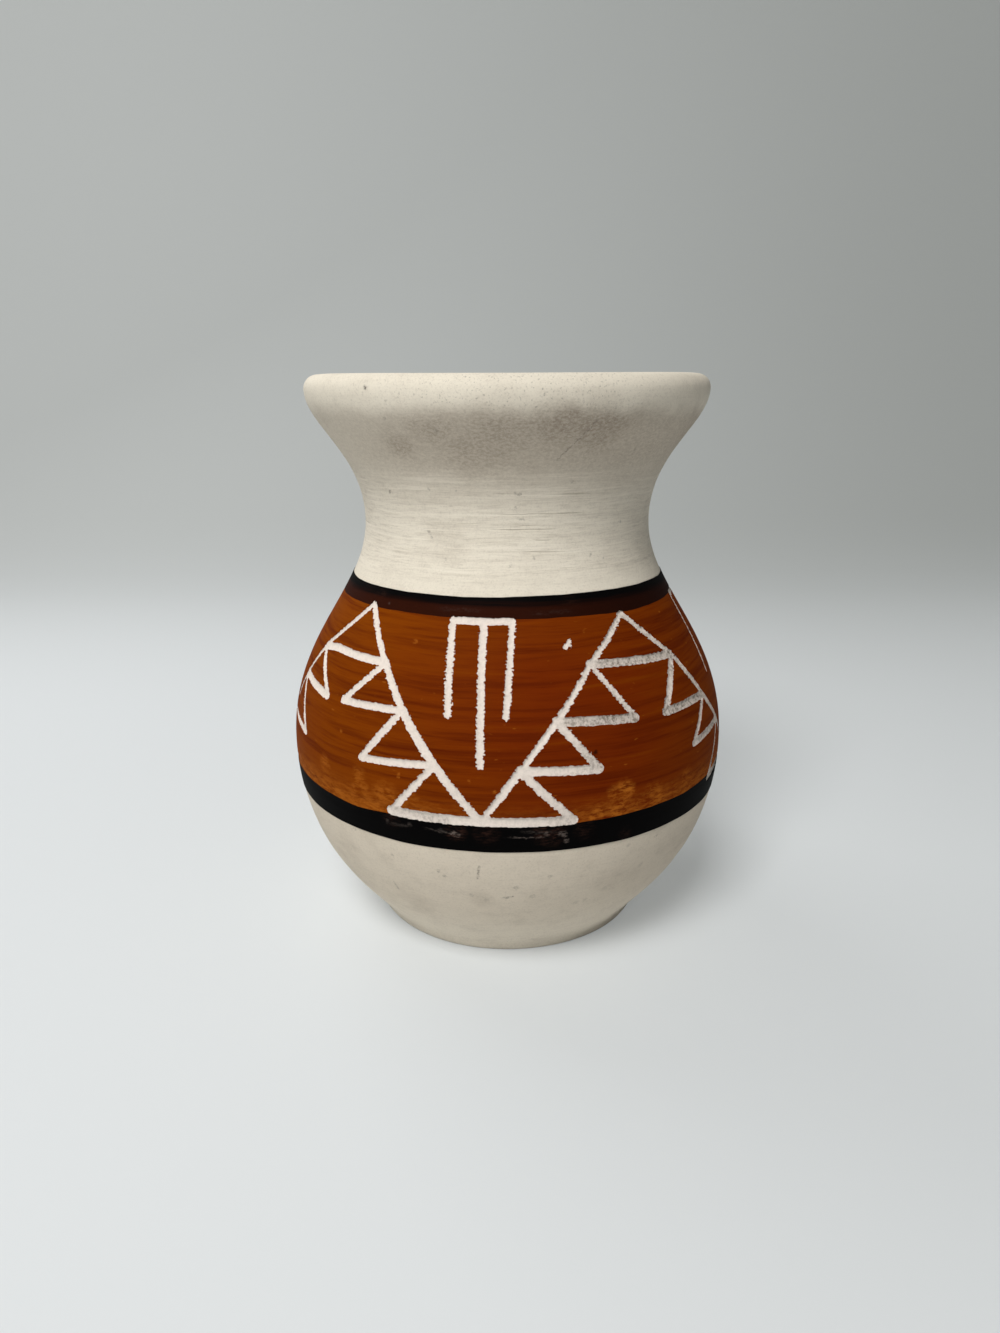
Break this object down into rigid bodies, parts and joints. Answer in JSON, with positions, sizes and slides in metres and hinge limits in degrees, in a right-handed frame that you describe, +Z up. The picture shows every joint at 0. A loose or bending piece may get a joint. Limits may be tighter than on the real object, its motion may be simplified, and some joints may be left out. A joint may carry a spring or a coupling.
{
  "type": "pottery vase",
  "caption": "Round-bellied earthenware vase with a waisted neck and a flared, rounded lip, painted slip bands with scratched line ornament, and a flat foot to stand on.",
  "frame": {"origin": "middle of the foot's flat underside, on the turning axis", "axes": "+Z up along the turning axis; -Y towards the viewer of the picture, +X to that viewer's right"},
  "size_m": [0.1038, 0.1038, 0.127],
  "materials": {
    "bare_clay": "matte unglazed cream-white clay",
    "rust_slip": "brushed rust-brown slip, low sheen",
    "dark_slip": "dark red-brown to black slip, low sheen",
    "black_slip": "black slip, low sheen",
    "glaze": "glossy glaze"
  },
  "bodies": {
    "root": {"clay_body": "bare_clay", "rust_band": "rust_slip", "upper_stripe": "dark_slip", "lower_stripe": "black_slip", "glaze_lining": "glaze"}
  },
  "joints": []
}
